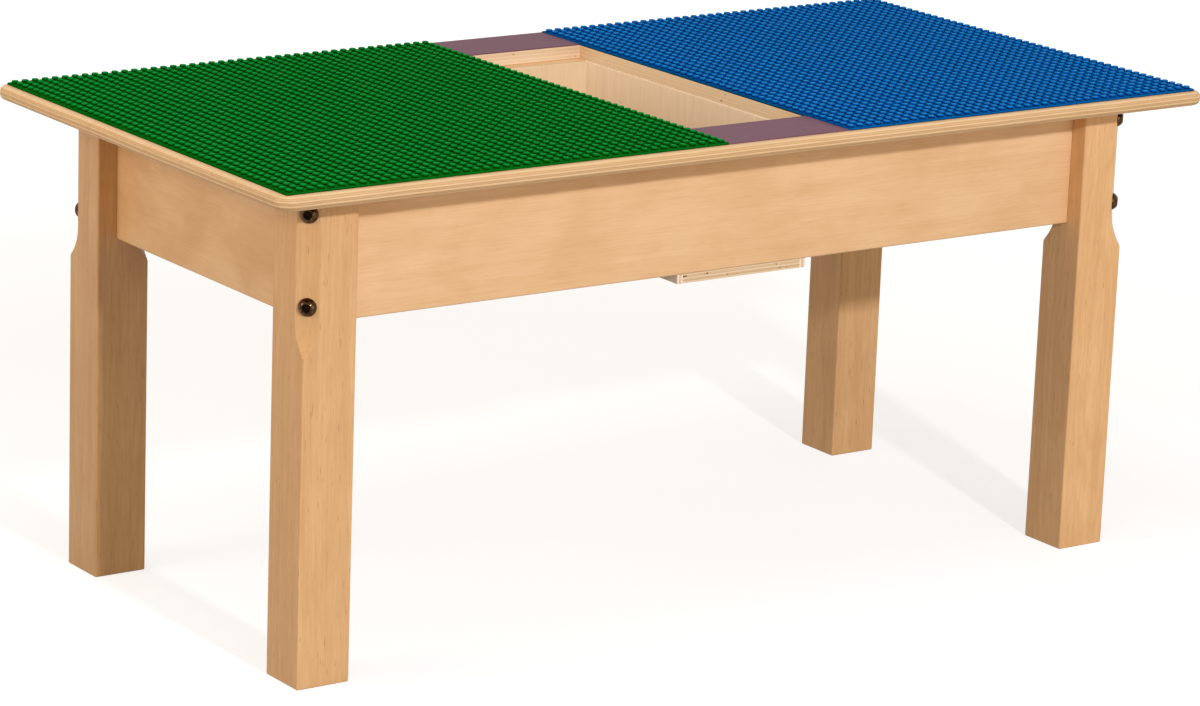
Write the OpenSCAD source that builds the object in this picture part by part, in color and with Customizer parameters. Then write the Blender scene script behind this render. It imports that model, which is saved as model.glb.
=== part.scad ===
// Building block play table: a plywood top with two stud plates and a bin between them,
// on four legs that are bolted through to corner blocks behind the aprons.
// Millimetres, +Z up, front towards -Y, origin on the floor below the middle of the top.

/* [Stud plates] */
// Distance between the centres of two neighbouring studs
stud_pitch = 8; // [7:0.1:10]
// Columns of studs on the green plate
green_columns = 44; // [30:1:60]
// Width of the bin's strip, in columns of studs
strip_columns = 13; // [8:1:20]
// Columns of studs on the blue plate
blue_columns = 40; // [30:1:60]
// Rows of studs between the front edge and the rear edge
stud_rows = 48; // [42:1:60]
// Thickness of a stud plate below its studs
plate_t = 1.6; // [1:0.1:3]
// Diameter of a stud
stud_d = 4.9; // [4:0.1:6]
// Height of a stud above its plate
stud_h = 1.8; // [1.2:0.1:2.4]
// Thickness of the laminate at both ends of the bin's strip
laminate_t = 0.8; // [0.5:0.1:1.5]

/* [Tabletop] */
// Thickness of the plywood top
top_t = 10; // [9:0.5:20]
// Plywood that shows all round the plates
top_margin = 7; // [4:0.5:20]
// Radius of the top's corners, seen from above
top_corner_r = 20; // [10:1:24]
// Radius of the rounding along the top's edges
top_edge_r = 4; // [1:0.5:6]

/* [Legs] */
// Length of a leg, from the floor to the underside of the top
leg_len = 341; // [280:1:600]
// Width of a leg, which is square
leg_w = 41; // [36:0.5:55]
// Radius of a leg's long edges
leg_edge_r = 1.5; // [0.5:0.1:3]
// How far the top reaches past the legs at its short ends
end_overhang = 41; // [20:1:70]
// How far the top reaches past the legs at the front and the rear
side_overhang = 38; // [20:1:50]
// How far the flats on a leg's outer and inner corner cut back along its faces
leg_flat = 11.5; // [8:0.5:14]
// Length of the flats, down from the underside of the top
flat_h = 88; // [60:1:110]
// Height of the hollow run-out below each flat
cove_len = 23; // [15:1:40]

/* [Aprons] */
// Height of an apron
apron_h = 92; // [70:1:120]
// Thickness of an apron
apron_t = 12; // [10:0.5:18]
// How far the aprons lie behind the legs' outer faces
apron_setback = 15; // [4:0.5:18]
// Radius of an apron's lower edges
apron_edge_r = 1.5; // [0.5:0.1:3]
// Thickness of a corner block
block_t = 19; // [15:0.5:25]
// Width of a cleat, which is square
cleat_w = 18; // [15:0.5:21]
// Space at each end of a cleat
cleat_gap = 10; // [2:0.5:30]

/* [Bin] */
// Thickness of the bin's walls
bin_wall_t = 5; // [4:0.5:10]
// Thickness of the bin's floor
bin_floor_t = 7; // [4:0.5:12]
// Play between the bin and the aprons
bin_play = 0.5; // [0.2:0.1:0.8]
// How far the side walls stand out into the mouth
side_ledge = 1; // [0:0.1:3]
// How far the mouth reaches past the end walls
end_ledge = 12.5; // [0:0.5:15]
// How far the bin's floor lies behind the aprons' outer faces
floor_setback = 2; // [0:0.5:5]

/* [Leg bolts] */
// Diameter of a leg bolt
bolt_d = 6; // [5:0.5:8]
// Diameter of a leg bolt's domed head
bolt_head_d = 13; // [10:0.5:15]
// Height of a leg bolt's domed head
bolt_head_h = 4.6; // [3:0.1:6]
// Width across the flats of the hexagon socket
bolt_socket_w = 4; // [3:0.5:5]
// Depth of the hexagon socket
bolt_socket_h = 2.6; // [1.5:0.1:3]
// Play of a leg bolt in its hole, on the diameter
bolt_play = 0.5; // [0.2:0.1:1]
// Distance of the upper bolt below the top
upper_bolt_drop = 14; // [10:0.5:25]
// Distance of the lower bolt above the lower end of the flats
lower_bolt_rise = 11; // [10:0.5:25]
// Diameter of a washer
washer_d = 14; // [12:0.5:17]
// Thickness of a washer
washer_t = 1.6; // [1:0.1:2]
// Width across the flats of a nut
nut_w = 10; // [9:0.5:13]
// Thickness of a nut
nut_t = 5; // [4:0.5:7]
// Length of bolt that stands out of its nut
bolt_proud = 2; // [0.5:0.5:5]

/* [Screws and brads] */
// How deep a cleat's screws reach into the top and the aprons
cleat_screw_bite = 7; // [4:0.5:8.5]
// How much of a corner block lies under the head of each of its screws
block_screw_wood = 12; // [9:0.5:14]
// How deep a corner block's screws reach into the aprons
block_screw_bite = 8; // [5:0.5:9.5]
// Diameter of a screw's shank
screw_d = 3.5; // [3:0.1:4.5]
// Diameter of a screw's head
screw_head_d = 7; // [6:0.5:8.5]
// Height of a screw's conical head
screw_head_h = 2.2; // [1.5:0.1:3]
// Diameter of the pockets for a corner block's screws
pocket_d = 9; // [8.6:0.1:11]
// Length of a brad in the bin's floor
brad_len = 20; // [12:0.5:30]
// Diameter of a brad
brad_d = 1.4; // [1:0.1:2]
// Diameter of a brad's head
brad_head_d = 2.8; // [2.2:0.1:3.6]
// Thickness of a brad's head
brad_head_t = 0.8; // [0.4:0.1:1.2]

/* [Hidden] */
$fn = 48;
stud_sides = 16;

// Overrun of a cut past the face that it opens
cut_over = top_t;

// The field of plates and the top
field_w = (green_columns + strip_columns + blue_columns) * stud_pitch;
field_d = stud_rows * stud_pitch;
top_w = field_w + 2 * top_margin;
top_d = field_d + 2 * top_margin;
top_z = leg_len + top_t;
edge_limit_share = 0.45;
edge_r = min(top_edge_r, edge_limit_share * top_t);

// The bin's strip, between the two plates
strip_x0 = -field_w / 2 + green_columns * stud_pitch;
strip_w = strip_columns * stud_pitch;
strip_x1 = strip_x0 + strip_w;

// Outer corner of the rear right leg, and the plane of each apron's outer and inner face
leg_x = top_w / 2 - end_overhang;
leg_y = top_d / 2 - side_overhang;
apron_x = leg_x - apron_setback;
apron_y = leg_y - apron_setback;
inner_x = apron_x - apron_t;
inner_y = apron_y - apron_t;
apron_z = leg_len - apron_h;

// The flats on a leg: where they end, their depth across the corner, and the cutter's radius
// in their run-out
flat_z = leg_len - flat_h;
flat_depth = leg_flat / sqrt(2);
cove_r = (cove_len * cove_len + flat_depth * flat_depth) / (2 * flat_depth);

// The corner block lies between two upright planes where x + y is constant
block_outer_sum = leg_x + leg_y - 2 * leg_w + leg_flat;
block_inner_sum = block_outer_sum - block_t * sqrt(2);
block_reach_x = block_inner_sum - inner_y;
block_reach_y = block_inner_sum - inner_x;

// The bin
bin_y = inner_y - bin_play;
mouth_y = bin_y - bin_wall_t + end_ledge;
cavity_x0 = strip_x0 + side_ledge;
cavity_x1 = strip_x1 - side_ledge;
bin_x0 = cavity_x0 - bin_wall_t;
bin_x1 = cavity_x1 + bin_wall_t;
floor_y = apron_y - floor_setback;
floor_z = apron_z - bin_floor_t;

// Lengths of the screws
cleat_screw_len = cleat_w + cleat_screw_bite;
block_screw_len = block_screw_wood + block_screw_bite;

// Heights of the leg bolts, and the length of a bolt from its head's seat to its end
bolt_heights = [flat_z + lower_bolt_rise, leg_len - upper_bolt_drop];
leg_span = leg_w * sqrt(2) - 2 * flat_depth;
bolt_len = leg_span + block_t + washer_t + nut_t + bolt_proud;

// Shares of a corner block's height at which it is screwed on
block_screw_shares = [0.3, 0.66];
// Shares of a cleat's length at which it is screwed up to the top, and across to its apron
cleat_top_shares = [0.12, 0.5, 0.88];
cleat_apron_shares = [0.25, 0.75];
// Shares of the bin's length at which brads hold its floor to the side walls, and of its width
// at which they hold it to the aprons
brad_side_shares = [0.08, 0.36, 0.64, 0.92];
brad_end_shares = [0.2, 0.5, 0.8];
// Share of a screw's length that is its point, and of its head's width that the cross takes
screw_point_share = 0.2;
cross_len_share = 0.6;
cross_w_share = 0.14;

wood = "#e3b886";
ply = "#e8c79a";

// Puts what is made for the rear right corner at the corner of the given signs
module at_corner(right, rear) {
  mirror([right ? 0 : 1, 0, 0])
    mirror([0, rear ? 0 : 1, 0])
      children();
}

// Square with round corners, centred
module rounded_square(w, r) {
  square([w, w - 2 * r], center = true);
  square([w - 2 * r, w], center = true);
  for (sx = [-1, 1], sy = [-1, 1])
    translate([sx * (w / 2 - r), sy * (w / 2 - r)])
      circle(r = r);
}

// Section through the top's edge: it starts at the axis and is rounded at its far side
module rim_section() {
  square([top_corner_r - edge_r, top_t]);
  translate([0, edge_r])
    square([top_corner_r, top_t - 2 * edge_r]);
  for (z = [edge_r, top_t - edge_r])
    translate([top_corner_r - edge_r, z])
      circle(r = edge_r);
}

// One straight side of the top, run along X and facing +Y
module top_side(length) {
  translate([-length / 2, 0, 0])
    rotate([90, 0, 90])
      linear_extrude(length)
        rim_section();
}

// Plywood top without its cuts
module top_blank() {
  core_w = top_w - 2 * top_corner_r;
  core_d = top_d - 2 * top_corner_r;
  translate([-core_w / 2, -core_d / 2, 0])
    cube([core_w, core_d, top_t]);
  for (turn = [0, 180])
    rotate([0, 0, turn]) {
      translate([0, core_d / 2, 0])
        top_side(core_w);
      translate([core_w / 2, 0, 0])
        rotate([0, 0, -90])
          top_side(core_d);
    }
  for (sx = [-1, 1], sy = [-1, 1])
    translate([sx * core_w / 2, sy * core_d / 2, 0])
      rotate_extrude()
        rim_section();
}

module tabletop() {
  color(ply)
    difference() {
      translate([0, 0, leg_len])
        top_blank();
      translate([strip_x0, -mouth_y, leg_len - cut_over])
        cube([strip_w, 2 * mouth_y, top_t + 2 * cut_over]);
      top_screws();
    }
}

// Row of studs along X, each rooted halfway down the plate
module stud_row(columns) {
  for (i = [0:columns - 1])
    translate([(i + 1 / 2) * stud_pitch, 0, plate_t / 2])
      cylinder(d = stud_d, h = plate_t / 2 + stud_h, $fn = stud_sides);
}

// Plate with a stud in the middle of each square of its grid, from the given X
module stud_plate(x, columns) {
  translate([x, -field_d / 2, top_z]) {
    cube([columns * stud_pitch, field_d, plate_t]);
    for (j = [0:stud_rows - 1])
      translate([0, (j + 1 / 2) * stud_pitch, 0])
        stud_row(columns);
  }
}

module green_stud_plate() {
  color("#00701e")
    stud_plate(-field_w / 2, green_columns);
}

module blue_stud_plate() {
  color("#005aaa")
    stud_plate(strip_x1, blue_columns);
}

// Laminate at one end of the strip, from the bin's mouth to the edge of the field
module laminate(rear) {
  color("#7f5c6c")
    mirror([0, rear ? 0 : 1, 0])
      translate([strip_x0, mouth_y, top_z])
        cube([strip_w, field_d / 2 - mouth_y, laminate_t]);
}

module front_laminate() { laminate(false); }
module rear_laminate() { laminate(true); }

// What a leg's flat takes off, seen from its corner edge: outwards is +X
module flat_cut() {
  translate([-flat_depth, -leg_flat, flat_z])
    cube([leg_w, 2 * leg_flat, flat_h + cut_over]);
  translate([cove_r - flat_depth, leg_flat, flat_z])
    rotate([90, 0, 0])
      cylinder(r = cove_r, h = 2 * leg_flat);
}

// Puts children on the diagonal through a leg's middle: outwards is +X, from the leg's middle
module on_leg_diagonal(z = 0) {
  translate([leg_x - leg_w / 2, leg_y - leg_w / 2, z])
    rotate([0, 0, 45])
      children();
}

// Holes for the leg bolts, through the leg and its corner block
module bolt_holes() {
  for (z = bolt_heights)
    on_leg_diagonal(z)
      translate([-leg_span, 0, 0])
        rotate([0, 90, 0])
          cylinder(d = bolt_d + bolt_play, h = 2 * leg_span);
}

// Leg of the rear right corner
module leg() {
  color(wood)
    difference() {
      translate([leg_x - leg_w / 2, leg_y - leg_w / 2, 0])
        linear_extrude(leg_len)
          rounded_square(leg_w, leg_edge_r);
      on_leg_diagonal()
        for (turn = [0, 180])
          rotate([0, 0, turn])
            translate([leg_w / sqrt(2), 0, 0])
              flat_cut();
      bolt_holes();
    }
}

module front_left_leg() { at_corner(false, false) leg(); }
module front_right_leg() { at_corner(true, false) leg(); }
module rear_left_leg() { at_corner(false, true) leg(); }
module rear_right_leg() { at_corner(true, true) leg(); }

// Section of an apron: thickness along X, height along Y, round at both lower edges
module apron_section() {
  translate([0, apron_edge_r])
    square([apron_t, apron_h - apron_edge_r]);
  translate([apron_edge_r, 0])
    square([apron_t - 2 * apron_edge_r, apron_h]);
  for (x = [apron_edge_r, apron_t - apron_edge_r])
    translate([x, apron_edge_r])
      circle(r = apron_edge_r);
}

// Apron along X, whose outer face is at the given Y
module long_apron(rear) {
  span = 2 * (leg_x - leg_w);
  color(wood)
    difference() {
      mirror([0, rear ? 0 : 1, 0])
        translate([-span / 2, inner_y, apron_z])
          rotate([90, 0, 90])
            linear_extrude(span)
              apron_section();
      block_screws();
      apron_screws();
      floor_brads();
    }
}

// Apron along Y, whose outer face is at the given X
module short_apron(right) {
  span = 2 * (leg_y - leg_w);
  color(wood)
    difference() {
      mirror([right ? 0 : 1, 0, 0])
        translate([inner_x, span / 2, apron_z])
          rotate([90, 0, 0])
            linear_extrude(span)
              apron_section();
      block_screws();
      apron_screws();
      floor_brads();
    }
}

module front_apron() { long_apron(false); }
module rear_apron() { long_apron(true); }
module left_apron() { short_apron(false); }
module right_apron() { short_apron(true); }

// Corner block of the rear right corner: a diagonal bar whose ends lie flat on both aprons
module corner_block() {
  color(ply)
    difference() {
      translate([0, 0, flat_z])
        linear_extrude(flat_h)
          polygon([[block_reach_x, inner_y],
                   [inner_x, block_reach_y],
                   [inner_x, block_outer_sum - inner_x],
                   [block_outer_sum - inner_y, inner_y]]);
      bolt_holes();
      each_block_screw() {
        screw(block_screw_len);
        mirror([0, 0, 1])
          cylinder(d = pocket_d, h = block_t);
      }
    }
}

module front_left_corner_block() { at_corner(false, false) corner_block(); }
module front_right_corner_block() { at_corner(true, false) corner_block(); }
module rear_left_corner_block() { at_corner(false, true) corner_block(); }
module rear_right_corner_block() { at_corner(true, true) corner_block(); }

// Wood screw that points along +Z from its head's flat face
module screw(length) {
  point_h = screw_point_share * length;
  cylinder(d1 = screw_head_d, d2 = screw_d, h = screw_head_h);
  cylinder(d = screw_d, h = length - point_h);
  translate([0, 0, length - point_h])
    cylinder(d1 = screw_d, d2 = 0, h = point_h);
}

// Screw with its cross recess
module crossed_screw(length) {
  difference() {
    screw(length);
    for (turn = [0, 90])
      rotate([0, 0, turn])
        cube([cross_len_share * screw_head_d, cross_w_share * screw_head_d, screw_head_h],
             center = true);
  }
}

// Children at each corner block screw of the rear right corner. Each head sits on the flat
// bottom of a pocket that opens at the block's slanting inner face
module each_block_screw() {
  for (share = block_screw_shares) {
    z = flat_z + share * flat_h;
    translate([block_inner_sum - inner_y + block_screw_wood + pocket_d / 2,
               inner_y - block_screw_wood, z])
      rotate([-90, 0, 0])
        children();
    translate([inner_x - block_screw_wood,
               block_inner_sum - inner_x + block_screw_wood + pocket_d / 2, z])
      rotate([0, 90, 0])
        children();
  }
}

// Screws of all the corner blocks, as plain shapes
module block_screws() {
  for (right = [false, true], rear = [false, true])
    at_corner(right, rear)
      each_block_screw()
        screw(block_screw_len);
}

module corner_block_screws() {
  color("silver")
    for (right = [false, true], rear = [false, true])
      at_corner(right, rear)
        each_block_screw()
          crossed_screw(block_screw_len);
}

// Each cleat's length, its starting point, its turn about Z and whether an apron carries it.
// It runs from there along its own +X, with what carries it on its -Y side
left_run = bin_x0 + block_reach_x - 2 * cleat_gap;
right_run = block_reach_x - bin_x1 - 2 * cleat_gap;
end_run = 2 * (block_reach_y - cleat_gap);
bin_run = 2 * (inner_y - cleat_w - cleat_gap);
cleats = [
  [left_run, [-block_reach_x + cleat_gap, -inner_y], 0, true],
  [right_run, [bin_x1 + cleat_gap, -inner_y], 0, true],
  [left_run, [bin_x0 - cleat_gap, inner_y], 180, true],
  [right_run, [block_reach_x - cleat_gap, inner_y], 180, true],
  [end_run, [-inner_x, end_run / 2], -90, true],
  [end_run, [inner_x, -end_run / 2], 90, true],
  [bin_run, [bin_x0, -bin_run / 2], 90, false],
  [bin_run, [bin_x1, bin_run / 2], -90, false]];

module at_cleat(cleat) {
  translate([cleat[1][0], cleat[1][1], leg_len])
    rotate([0, 0, cleat[2]])
      children();
}

// Children at each of a cleat's screws up into the top
module each_top_screw(cleat) {
  at_cleat(cleat)
    for (share = cleat_top_shares)
      translate([share * cleat[0], cleat_w / 2, -cleat_w])
        children();
}

// Children at each of a cleat's screws into its apron
module each_apron_screw(cleat) {
  if (cleat[3])
    at_cleat(cleat)
      for (share = cleat_apron_shares)
        translate([share * cleat[0], cleat_w, -cleat_w / 2])
          rotate([90, 0, 0])
            children();
}

module top_screws() {
  for (cleat = cleats)
    each_top_screw(cleat)
      screw(cleat_screw_len);
}

module apron_screws() {
  for (cleat = cleats)
    each_apron_screw(cleat)
      screw(cleat_screw_len);
}

module cleat_bar(cleat) {
  color(ply)
    difference() {
      at_cleat(cleat)
        translate([0, 0, -cleat_w])
          cube([cleat[0], cleat_w, cleat_w]);
      each_top_screw(cleat)
        screw(cleat_screw_len);
      each_apron_screw(cleat)
        screw(cleat_screw_len);
    }
}

module front_left_cleat() { cleat_bar(cleats[0]); }
module front_right_cleat() { cleat_bar(cleats[1]); }
module rear_left_cleat() { cleat_bar(cleats[2]); }
module rear_right_cleat() { cleat_bar(cleats[3]); }
module left_cleat() { cleat_bar(cleats[4]); }
module right_cleat() { cleat_bar(cleats[5]); }
module bin_left_cleat() { cleat_bar(cleats[6]); }
module bin_right_cleat() { cleat_bar(cleats[7]); }

module cleat_to_top_screws() {
  color("silver")
    for (cleat = cleats)
      each_top_screw(cleat)
        crossed_screw(cleat_screw_len);
}

module cleat_to_apron_screws() {
  color("silver")
    for (cleat = cleats)
      each_apron_screw(cleat)
        crossed_screw(cleat_screw_len);
}

// Children at each brad of the bin's floor: from both sides through the walls' feet into the
// floor's long edges, and up through the floor into both long aprons
module each_brad() {
  for (share = brad_side_shares) {
    y = (2 * share - 1) * bin_y;
    z = floor_z + bin_floor_t / 2;
    translate([bin_x0, y, z])
      rotate([0, 90, 0])
        children();
    translate([bin_x1, y, z])
      rotate([0, -90, 0])
        children();
  }
  for (share = brad_end_shares, side = [-1, 1])
    translate([cavity_x0 + share * (cavity_x1 - cavity_x0), side * (inner_y + apron_t / 2), floor_z])
      children();
}

// Brad that points along +Z from its head's flat face
module brad() {
  point_h = brad_head_d;
  cylinder(d = brad_head_d, h = brad_head_t);
  cylinder(d = brad_d, h = brad_len - point_h);
  translate([0, 0, brad_len - point_h])
    cylinder(d1 = brad_d, d2 = 0, h = point_h);
}

module floor_brads() {
  each_brad()
    brad();
}

// Side wall of the bin: it runs from apron to apron, and its foot reaches on below them
module bin_side_wall(x) {
  color(ply)
    difference() {
      union() {
        translate([x, -bin_y, floor_z])
          cube([bin_wall_t, 2 * bin_y, apron_h + bin_floor_t]);
        translate([x, -floor_y, floor_z])
          cube([bin_wall_t, 2 * floor_y, bin_floor_t]);
      }
      floor_brads();
    }
}

// End wall of the bin, which stands on the floor between the two side walls
module bin_end_wall(rear) {
  color(ply)
    mirror([0, rear ? 0 : 1, 0])
      translate([cavity_x0, bin_y - bin_wall_t, apron_z])
        cube([cavity_x1 - cavity_x0, bin_wall_t, apron_h]);
}

module bin_left_wall() { bin_side_wall(bin_x0); }
module bin_right_wall() { bin_side_wall(cavity_x1); }
module bin_front_wall() { bin_end_wall(false); }
module bin_rear_wall() { bin_end_wall(true); }

// Floor of the bin, between the side walls and below both long aprons
module bin_floor() {
  color(ply)
    difference() {
      translate([cavity_x0, -floor_y, floor_z])
        cube([cavity_x1 - cavity_x0, 2 * floor_y, bin_floor_t]);
      floor_brads();
    }
}

module bin_floor_brads() {
  color("silver")
    floor_brads();
}

// Puts children on a leg bolt's axis at a corner: +Z points out of the leg, from its outer flat
module on_each_bolt() {
  for (right = [false, true], rear = [false, true], z = bolt_heights)
    at_corner(right, rear)
      on_leg_diagonal(z)
        translate([leg_span / 2, 0, 0])
          rotate([0, 90, 0])
            children();
}

// Leg bolt with a domed head and a hexagon socket
module leg_bolt() {
  dome_r = (bolt_head_d * bolt_head_d / 4 + bolt_head_h * bolt_head_h) / (2 * bolt_head_h);
  difference() {
    intersection() {
      translate([0, 0, bolt_head_h - dome_r])
        sphere(r = dome_r);
      cylinder(d = bolt_head_d, h = bolt_head_h);
    }
    translate([0, 0, bolt_head_h - bolt_socket_h])
      cylinder(d = bolt_socket_w / cos(30), h = bolt_head_h, $fn = 6);
  }
  mirror([0, 0, 1])
    cylinder(d = bolt_d, h = bolt_len);
}

module leg_bolts() {
  color("#3a2c24")
    on_each_bolt()
      leg_bolt();
}

module leg_washers() {
  color("silver")
    on_each_bolt()
      translate([0, 0, -leg_span - block_t - washer_t])
        difference() {
          cylinder(d = washer_d, h = washer_t);
          translate([0, 0, -washer_t / 2])
            cylinder(d = bolt_d + bolt_play, h = 2 * washer_t);
        }
}

module leg_nuts() {
  color("silver")
    on_each_bolt()
      translate([0, 0, -leg_span - block_t - washer_t - nut_t])
        difference() {
          cylinder(d = nut_w / cos(30), h = nut_t, $fn = 6);
          translate([0, 0, -nut_t / 2])
            cylinder(d = bolt_d, h = 2 * nut_t);
        }
}

tabletop();
green_stud_plate();
blue_stud_plate();
front_laminate();
rear_laminate();
front_left_leg();
front_right_leg();
rear_left_leg();
rear_right_leg();
front_apron();
rear_apron();
left_apron();
right_apron();
front_left_corner_block();
front_right_corner_block();
rear_left_corner_block();
rear_right_corner_block();
front_left_cleat();
front_right_cleat();
rear_left_cleat();
rear_right_cleat();
left_cleat();
right_cleat();
bin_left_cleat();
bin_right_cleat();
bin_left_wall();
bin_right_wall();
bin_front_wall();
bin_rear_wall();
bin_floor();
leg_bolts();
leg_washers();
leg_nuts();
corner_block_screws();
cleat_to_apron_screws();
cleat_to_top_screws();
bin_floor_brads();
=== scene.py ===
import math
from functools import partial

import bpy
import numpy as np
from bpy.props import FloatProperty, FloatVectorProperty, IntProperty, PointerProperty
from mathutils import Matrix, Vector


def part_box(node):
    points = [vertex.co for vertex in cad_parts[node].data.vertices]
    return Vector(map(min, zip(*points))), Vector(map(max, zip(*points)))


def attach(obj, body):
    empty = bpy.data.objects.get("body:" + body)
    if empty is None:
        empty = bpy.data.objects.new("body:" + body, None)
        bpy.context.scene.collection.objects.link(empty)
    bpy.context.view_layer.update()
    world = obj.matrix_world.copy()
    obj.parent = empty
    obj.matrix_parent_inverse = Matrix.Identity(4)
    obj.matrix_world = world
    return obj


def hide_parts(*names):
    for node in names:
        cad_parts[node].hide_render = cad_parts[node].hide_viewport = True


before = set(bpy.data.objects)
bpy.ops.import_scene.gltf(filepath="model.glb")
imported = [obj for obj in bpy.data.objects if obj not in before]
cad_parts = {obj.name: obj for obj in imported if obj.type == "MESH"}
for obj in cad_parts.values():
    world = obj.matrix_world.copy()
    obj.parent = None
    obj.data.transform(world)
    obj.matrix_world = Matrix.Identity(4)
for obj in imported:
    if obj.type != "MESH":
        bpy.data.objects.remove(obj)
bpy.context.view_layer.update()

bl_info = {
    "name": "Block Play Table",
    "version": (1, 0, 0),
    "blender": (4, 5, 0),
    "location": "View3D > Sidebar > Play Table",
    "description": "Low wooden play table with two stud plates and an open bin between them",
    "category": "Object",
}

MM = 0.001
ROOT_2 = math.sqrt(2)
WHITE = (1.0, 1.0, 1.0, 1.0)
BODY = "root"

# Each corner's name, and the sides of the table's middle on which it lies in x and y
CORNERS = (("front_left", -1, -1), ("front_right", 1, -1), ("rear_left", -1, 1), ("rear_right", 1, 1))
# Each apron's name and the axis along it
APRONS = (("front_apron", 0), ("rear_apron", 0), ("left_apron", 1), ("right_apron", 1))

# Steps in the wood, in metres, from one leg or apron to the next
LEG_STEP = (0.31, 0.17, 0.43)
APRON_STEP = (0.23, 0.37, 0.19)
# Lightness of each leg's wood, partly its own tone and partly painted light for how light falls on it,
# strength of its arches, and strength of each apron's clouds
LEG_TONES_AND_PAINTED_LIGHT = (1.04, 1.14, 0.92, 1.13)
LEG_ARCHES = (0.1, 0.2, 0.15, 0.15)
APRON_CLOUDS = (0.5, 0.5, 0.85, 0.85)
# Place of the rings' heart from the middle of a leg's front face, at the foot, in metres
HEART = (0.004, -0.003, 0.15)
# Way of a bolt's shank through a corner block, and on through washer and nut, in metres
BLOCK_REACH, NUT_REACH = 0.019, 0.0086
# Range that holds nearly all of a noise's values
SPREAD = (0.3, 0.7)
# Places of the Mix node's two colours, and the settings that mix them
MIX_A, MIX_B = 6, 7
MIX_COLOURS = {"data_type": "RGBA", "out": 2}

# Camera that fits the photograph, with angles in degrees and the lens in millimetres
CAMERA_PLACE = (-1.8767, -2.6594, 1.0230)
CAMERA_AZIMUTH, CAMERA_DOWN, CAMERA_ROLL = 35.180, 14.969, 2.109
CAMERA_LENS, CAMERA_SENSOR = 137.955, 36.0


def linear(code):
    """Turns an sRGB hex colour into the linear colour that sockets hold, with alpha 1."""
    parts = [int(code[i:i + 2], 16) / 255 for i in (1, 3, 5)]
    return (*[p / 12.92 if p <= 0.04045 else ((p + 0.055) / 1.055) ** 2.4 for p in parts], 1.0)


def scaled(tint, tone):
    """A linear colour made lighter or darker, up to full light."""
    return (*[min(1.0, part * tone) for part in tint[:3]], 1.0)


def length(default_mm, name, description):
    """A size in millimetres as a property in metres."""
    return FloatProperty(name=name, description=description, default=default_mm * MM,
                         min=0.0, subtype="DISTANCE", unit="LENGTH")


def colour(code, name, description):
    """A colour property whose default is an sRGB hex value."""
    return FloatVectorProperty(name=name, description=description, default=linear(code),
                               size=4, min=0.0, max=1.0, subtype="COLOR")


def share(default, name, description):
    """A plain factor."""
    return FloatProperty(name=name, description=description, default=default, min=0.0,
                         subtype="FACTOR", soft_max=2.0)


# Sizes and colours

class PlateSettings(bpy.types.PropertyGroup):
    """Green and blue stud plates, and the laminate between them."""
    stud_pitch: length(8.0, "Stud pitch", "Distance between neighbouring studs")
    stud_diameter: length(4.9, "Stud diameter", "Diameter of a stud")
    stud_height: length(1.8, "Stud height", "Height of a stud above its plate")
    stud_ease: length(0.3, "Stud ease", "Chamfer round the top of a stud")
    stud_sides: IntProperty(name="Stud sides", description="Corners of a stud's outline",
                            default=14, min=8, max=16)
    laminate_ease: length(0.2, "Laminate ease", "Rounding of the laminate's edges")
    green: colour("#037918", "Green", "Colour of the left plate")
    blue: colour("#036abf", "Blue", "Colour of the right plate")
    # The next two colours are a painted highlight, put on the middles of the studs' tops.
    green_highlight: colour("#17984a", "Highlight green", "Colour of the middles of the left plate's studs")
    blue_highlight: colour("#2e94da", "Highlight blue", "Colour of the middles of the right plate's studs")
    purple: colour("#774e5f", "Purple", "Colour of the laminate")


class TopSettings(bpy.types.PropertyGroup):
    """Plywood top, and the plywood's grain and glue on the bin too."""
    corner_radius: length(12.0, "Corner radius", "Radius of the top's corners, seen from above")
    edge_radius: length(4.0, "Edge radius", "Rounding along the top's edges")
    mouth_ease: length(0.7, "Mouth ease", "Rounding along the edges of the bin's mouth")
    mouth_corner: length(1.5, "Mouth corner", "Radius of the mouth's corners, seen from above")
    plies: IntProperty(name="Plies", description="Layers of veneer in the top",
                       default=7, min=3, max=15)
    figure: share(0.35, "Figure", "Strength of the grain on the top's faces")
    filled: length(370.0, "Filled from", "Distance from the middle past which voids are filled")
    # The cut near the bin's mouth is painted paler by this share, partly its fresh colour and partly
    # painted light.
    pale_cut_and_painted_light: share(0.55, "Paler cut", "How much paler the mouth's cut is than the outer edge")
    veneer: colour("#ecca9c", "Veneer", "Colour of birch cut along its grain")
    end_grain: colour("#c99d69", "End grain", "Colour of birch cut across its grain")
    glue: colour("#875826", "Glue line", "Colour of the lines between the plies")


class TimberSettings(bpy.types.PropertyGroup):
    """Legs, aprons, blocks and cleats."""
    leg_ease: length(1.5, "Leg edge radius", "Rounding of a leg's long edges")
    foot_ease: length(1.2, "Foot edge radius", "Rounding round a leg's ends")
    flat_width: length(11.5, "Flat", "How far a flat cuts back along a leg's faces")
    flat_height: length(88.0, "Flat height", "Length of the flats, down from the top")
    cove_length: length(23.0, "Run-out", "Height of the hollow run-out below a flat")
    apron_ease: length(1.5, "Apron edge radius", "Rounding of an apron's long edges")
    joint_ease: length(0.3, "Joint ease", "Rounding where an apron meets a leg")
    leg_light: colour("#e8bd88", "Leg light", "Lighter colour in the legs' grain")
    leg_dark: colour("#ca9964", "Leg dark", "Darker colour in the legs' grain")
    apron_light: colour("#f1ca9b", "Apron light", "Lighter colour in the aprons' grain")
    apron_dark: colour("#dcae79", "Apron dark", "Darker colour in the aprons' grain")
    block_light: colour("#e6cba1", "Block light", "Lighter colour of blocks and cleats")
    block_dark: colour("#d0ab7c", "Block dark", "Darker colour of blocks and cleats")


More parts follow.
